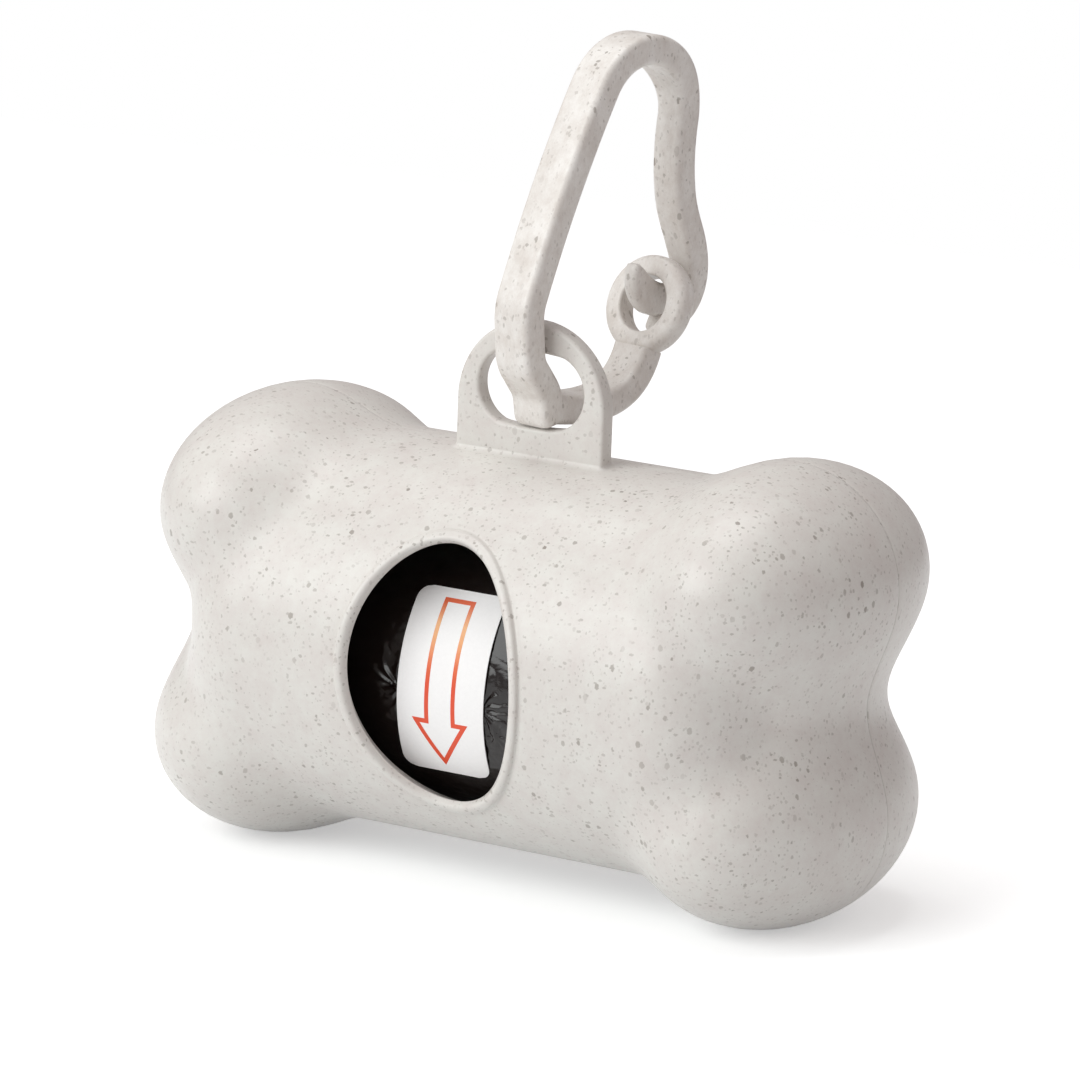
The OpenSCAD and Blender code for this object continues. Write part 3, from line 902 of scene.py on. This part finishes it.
def arrowPrint():
    top, neck, tip = (sealRadius * math.radians(arrow[k]) for k in ("top", "neck", "tip"))
    c, s, h = arrow["middle"], arrow["shaft"], arrow["head"]
    corners = [(c - s, top), (c - s, neck), (c - h, neck), (c, tip), (c + h, neck), (c + s, neck),
               (c + s, top)]
    loops = []
    bm = bmesh.new()
    for away in (arrow["line"] / 2, -arrow["line"] / 2):
        line = offsetCorners(corners, away)
        spots = []
        for i, p in enumerate(line):
            q = line[(i + 1) % len(line)]
            m = max(1, round((Vector(corners[(i + 1) % len(line)]) - Vector(corners[i])).length / 0.4))
            spots += [onRoll(*p.lerp(q, k / m), seal["thick"] + 0.015) for k in range(m)]
        loops += loopEdges(bm, firstLoop(bm, spots))
    bmesh.ops.bridge_loops(bm, edges=loops)
    giveDepth(bm, 0.014)
    return bm


sealPiece = finishPiece(sealSheet(), "paperSeal", sealPaper(), 40)
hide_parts("roll_seal")
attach(sealPiece, "roll")
arrowPiece = finishPiece(arrowPrint(), "sealArrow", arrowInkAndSheen(rollHeight), 40)
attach(arrowPiece, "roll")
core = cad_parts["roll_core"]
board = coreBoard()
for slotPlace in core.material_slots:
    slotPlace.material = board
print("roll made")

stage = {"floor": "#eff1f2", "lift": 0.44}
floorBm = bmesh.new()
bmesh.ops.create_grid(floorBm, x_segments=1, y_segments=1, size=0.36)
bmesh.ops.translate(floorBm, verts=floorBm.verts, vec=(0, 0, -0.00002))


def floorPaper():
    material, tree, shader, where = newFinish("whiteStagePaper")
    shader.inputs["Base Color"].default_value = sheenOf(stage["floor"])
    shader.inputs["Roughness"].default_value = 0.9
    shader.inputs["Specular IOR Level"].default_value = 0.0
    path = addNode(tree, "ShaderNodeLightPath")
    seen = addNode(tree, "ShaderNodeMath",
                   {0: path.outputs["Is Camera Ray"], 1: path.outputs["Is Glossy Ray"]},
                   operation="MAXIMUM").outputs["Value"]
    lift = addNode(tree, "ShaderNodeMath", {0: seen, 1: stage["lift"]},
                   operation="MULTIPLY").outputs["Value"]
    glow = addNode(tree, "ShaderNodeEmission", {"Color": (1, 1, 1, 1), "Strength": lift})
    both = addNode(tree, "ShaderNodeAddShader", {0: shader.outputs[0], 1: glow.outputs[0]})
    tree.links.new(both.outputs[0], tree.nodes["Material Output"].inputs["Surface"])
    return material


floor = finishPiece(floorBm, "stageFloor", floorPaper())

world = bpy.data.worlds.new("studio")
world.use_nodes = True
bpy.context.scene.world = world
sky = world.node_tree
path = addNode(sky, "ShaderNodeLightPath")
seen = addNode(sky, "ShaderNodeMath",
               {0: path.outputs["Is Camera Ray"], 1: path.outputs["Is Transmission Ray"]},
               operation="MAXIMUM").outputs["Value"]
shade = addNode(sky, "ShaderNodeMix", {"Factor": seen, 6: (0.388, 0.354, 0.349, 1), 7: (1, 1, 1, 1)},
                data_type="RGBA").outputs[2]
sky.links.new(shade, sky.nodes["Background"].inputs["Color"])
sky.nodes["Background"].inputs["Strength"].default_value = 1.0

lamps = {
    # name: place, aim, width, height, watts, colour
    "frontSoftbox": ((-0.36, -0.79, 0.5), (0, 0, 0.03), 0.8, 0.66, 5.75, (0.966, 1.0, 0.994)),
    "topSoftbox": ((-0.1, -0.03, 0.68), (0, 0, 0.05), 0.44, 0.44, 1.8, (0.98, 1.0, 0.99)),
}
for name, (place, aim, wide, tall, watts, tint) in lamps.items():
    data = bpy.data.lights.new(name, "AREA")
    data.shape = "RECTANGLE"
    data.size, data.size_y, data.energy, data.color = wide, tall, watts, tint
    lamp = bpy.data.objects.new(name, data)
    bpy.context.scene.collection.objects.link(lamp)
    lamp.location = place
    lamp.rotation_euler = (Vector(aim) - Vector(place)).to_track_quat("-Z", "Y").to_euler()

shot = {
    "azimuth": 32.0,
    "elevation": 12.428,
    "distance": 711.568,
    "target": (-0.019, 0.0, 12.368),
    "roll": 2.119,
    "lens": 36 * 6831.957 / 1080,
}


def placeCamera():
    a, e, t = (math.radians(shot[k]) for k in ("azimuth", "elevation", "roll"))
    back = Vector((math.sin(a) * math.cos(e), -math.cos(a) * math.cos(e), math.sin(e)))
    side = Vector((math.cos(a), math.sin(a), 0))
    over = back.cross(side)
    right = side * math.cos(t) + over * math.sin(t)
    up = over * math.cos(t) - side * math.sin(t)
    data = bpy.data.cameras.new("photoView")
    data.lens = shot["lens"]
    data.sensor_width = 36
    data.clip_start, data.clip_end = 0.05, 20
    camera = bpy.data.objects.new("photoView", data)
    bpy.context.scene.collection.objects.link(camera)
    x, y, z = shot["target"]
    spot = (Vector((x, y, z + axisHeight)) + back * shot["distance"]) * mm
    camera.matrix_world = Matrix([(right[i], up[i], back[i], spot[i]) for i in range(3)] + [(0, 0, 0, 1)])
    bpy.context.scene.camera = camera


placeCamera()
bpy.context.scene.view_settings.view_transform = "Standard"
print("stage, light and camera made")
